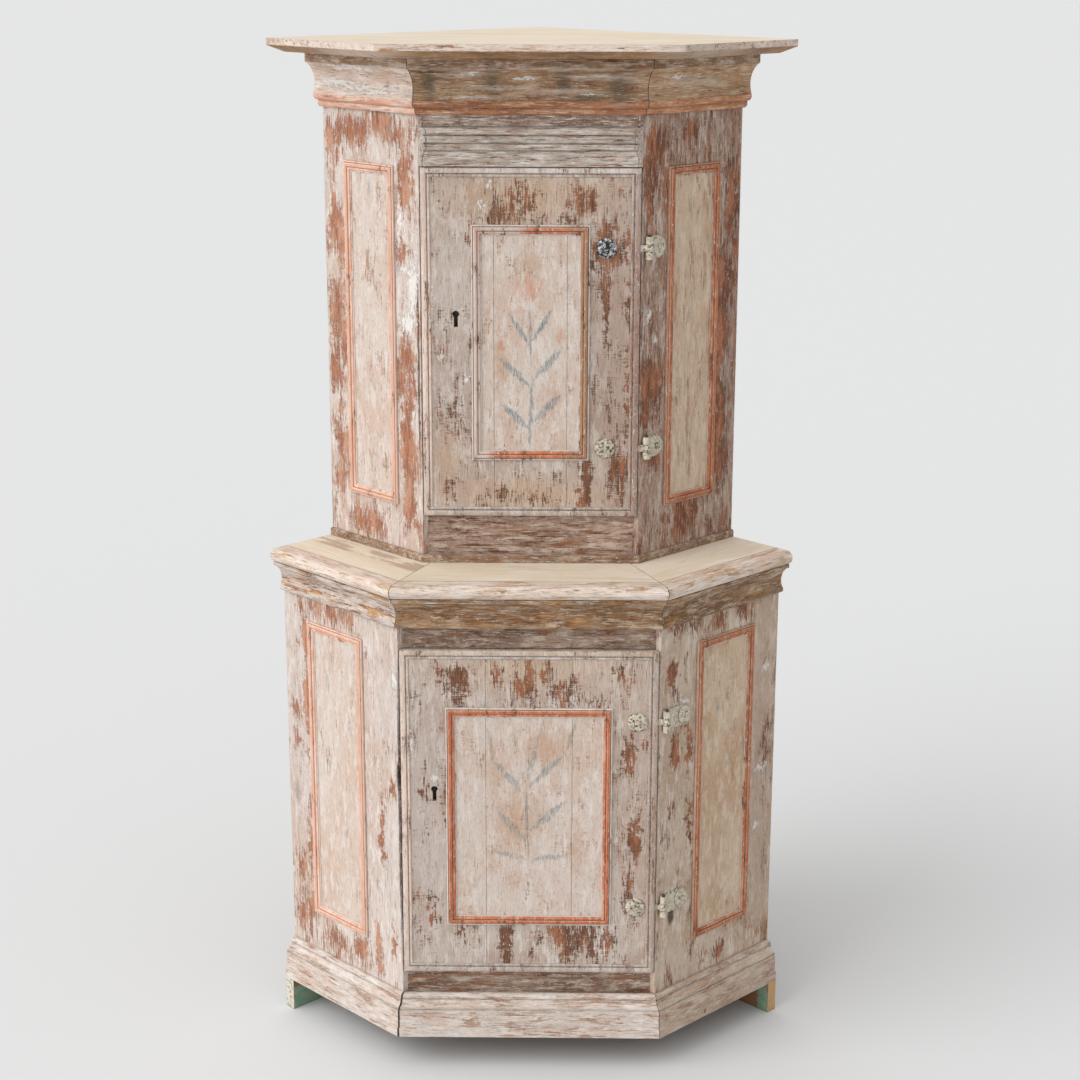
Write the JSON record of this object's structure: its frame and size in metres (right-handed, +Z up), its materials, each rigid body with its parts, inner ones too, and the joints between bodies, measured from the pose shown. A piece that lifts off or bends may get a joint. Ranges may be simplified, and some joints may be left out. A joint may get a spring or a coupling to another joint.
{
  "type": "corner cabinet",
  "caption": "Free-standing corner cabinet with canted sides: a moulded base and a shallower upper case, each with a hinged plank door, a lock and shelves; worn paint.",
  "frame": {"origin": "on the floor, midway between the left and right edges and midway between the ledge's nose in front and the room corner behind", "axes": "+Z up; the doors face -Y; +X is to the right seen from the front; the walls of the room corner are on the +X+Y and -X+Y sides"},
  "size_m": [0.9624, 0.718, 1.85],
  "materials": {
    "case_paint": "worn greige and mauve paint over red-brown, streaked along the grain, matt",
    "trim_paint": "worn whitish and honey paint on mouldings, rubbed through on the edges, matt",
    "panel_paint": "worn terracotta and whitish paint on the panel mouldings, matt",
    "door_paint": "worn beige paint over brown wood, vertical streaks, matt",
    "bare_wood": "old bare pine, dull",
    "runner_wood": "bare pine with remains of sage green paint, dull",
    "hinge_metal": "iron with chipped cream paint",
    "lock_iron": "dark wrought iron"
  },
  "bodies": {
    "case": {"lower_left_side": "case_paint", "lower_right_side": "case_paint", "lower_top_rail": "case_paint", "lower_bottom_rail": "case_paint", "upper_left_side": "case_paint", "upper_right_side": "case_paint", "upper_top_rail": "case_paint", "upper_bottom_rail": "case_paint", "plinth_left": "trim_paint", "plinth_front": "trim_paint", "plinth_right": "trim_paint", "waist_moulding_left": "trim_paint", "waist_moulding_front": "trim_paint", "waist_moulding_right": "trim_paint", "ledge_left": "trim_paint", "ledge_front": "trim_paint", "ledge_right": "trim_paint", "upper_base_moulding": "trim_paint", "frieze_moulding": "trim_paint", "frieze_ears": "trim_paint", "cornice_left": "trim_paint", "cornice_front": "trim_paint", "cornice_right": "trim_paint", "top_board": "trim_paint", "lower_left_panel_moulding": "panel_paint", "lower_right_panel_moulding": "panel_paint", "upper_left_panel_moulding": "panel_paint", "upper_right_panel_moulding": "panel_paint", "lower_back_left": "bare_wood", "lower_back_right": "bare_wood", "lower_floor": "bare_wood", "lower_shelf": "bare_wood", "lower_cleats": "bare_wood", "ledge_infill": "bare_wood", "upper_back_left": "bare_wood", "upper_back_right": "bare_wood", "upper_floor": "bare_wood", "upper_shelf_low": "bare_wood", "upper_shelf_high": "bare_wood", "upper_cleats": "bare_wood", "foot_left": "runner_wood", "foot_right": "runner_wood", "lower_frame_hinge_leaves": "hinge_metal", "upper_frame_hinge_leaves": "hinge_metal", "lower_hinge_pins": "lock_iron", "upper_hinge_pins": "lock_iron"},
    "lower_door": {"lower_door_boards": "door_paint", "lower_door_battens": "bare_wood", "lower_door_bead": "door_paint", "lower_door_panel_moulding": "panel_paint", "lower_door_hinge_leaves": "hinge_metal", "lower_lock_case": "lock_iron"},
    "lower_lock_bolt": {"lower_lock_bolt": "lock_iron"},
    "upper_door": {"upper_door_boards": "door_paint", "upper_door_battens": "bare_wood", "upper_door_bead": "door_paint", "upper_door_panel_moulding": "panel_paint", "upper_door_hinge_leaves": "hinge_metal", "upper_lock_case": "lock_iron"},
    "upper_lock_bolt": {"upper_lock_bolt": "lock_iron"}
  },
  "joints": [
    {"name": "lower_door_hinge", "type": "hinge", "parent": "case", "child": "lower_door", "pos_m": [0.24543, -0.32546, 0], "axis": [0, 0, 1], "range_deg": [0, 170]},
    {"name": "upper_door_hinge", "type": "hinge", "parent": "case", "child": "upper_door", "pos_m": [0.20644, -0.19546, 0], "axis": [0, 0, 1], "range_deg": [0, 170]},
    {"name": "lower_bolt_slide", "type": "slide", "parent": "lower_door", "child": "lower_lock_bolt", "axis": [-1, 0, 0], "range_m": [0, 0.014]},
    {"name": "upper_bolt_slide", "type": "slide", "parent": "upper_door", "child": "upper_lock_bolt", "axis": [-1, 0, 0], "range_m": [0, 0.014]}
  ]
}
